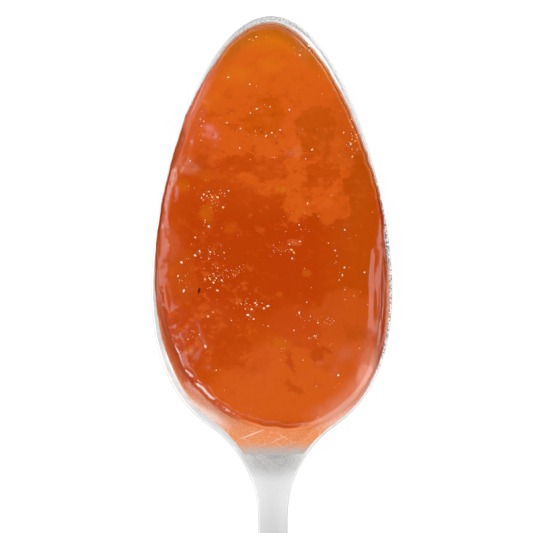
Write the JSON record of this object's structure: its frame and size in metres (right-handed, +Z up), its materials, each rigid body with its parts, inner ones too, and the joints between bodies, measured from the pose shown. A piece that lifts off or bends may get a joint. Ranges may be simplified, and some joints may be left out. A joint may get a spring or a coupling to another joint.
{
  "type": "spoonful of apricot jam",
  "caption": "Steel table spoon lying level, its bowl filled to the lip with glossy apricot jam; the handle arches off the table and widens to a rounded end.",
  "frame": {"origin": "on the table, half way along the spoon and on its middle line", "axes": "+Y along the spoon from the end of the handle to the tip of the bowl, +Z up, out of the open bowl, +X to the right seen from above with the tip away from the viewer"},
  "size_m": [0.0414, 0.205, 0.021],
  "materials": {
    "steel": "satin, slightly worn",
    "jam": "wet gloss"
  },
  "bodies": {
    "root": {"spoon": "steel", "jam": "jam"}
  },
  "joints": []
}
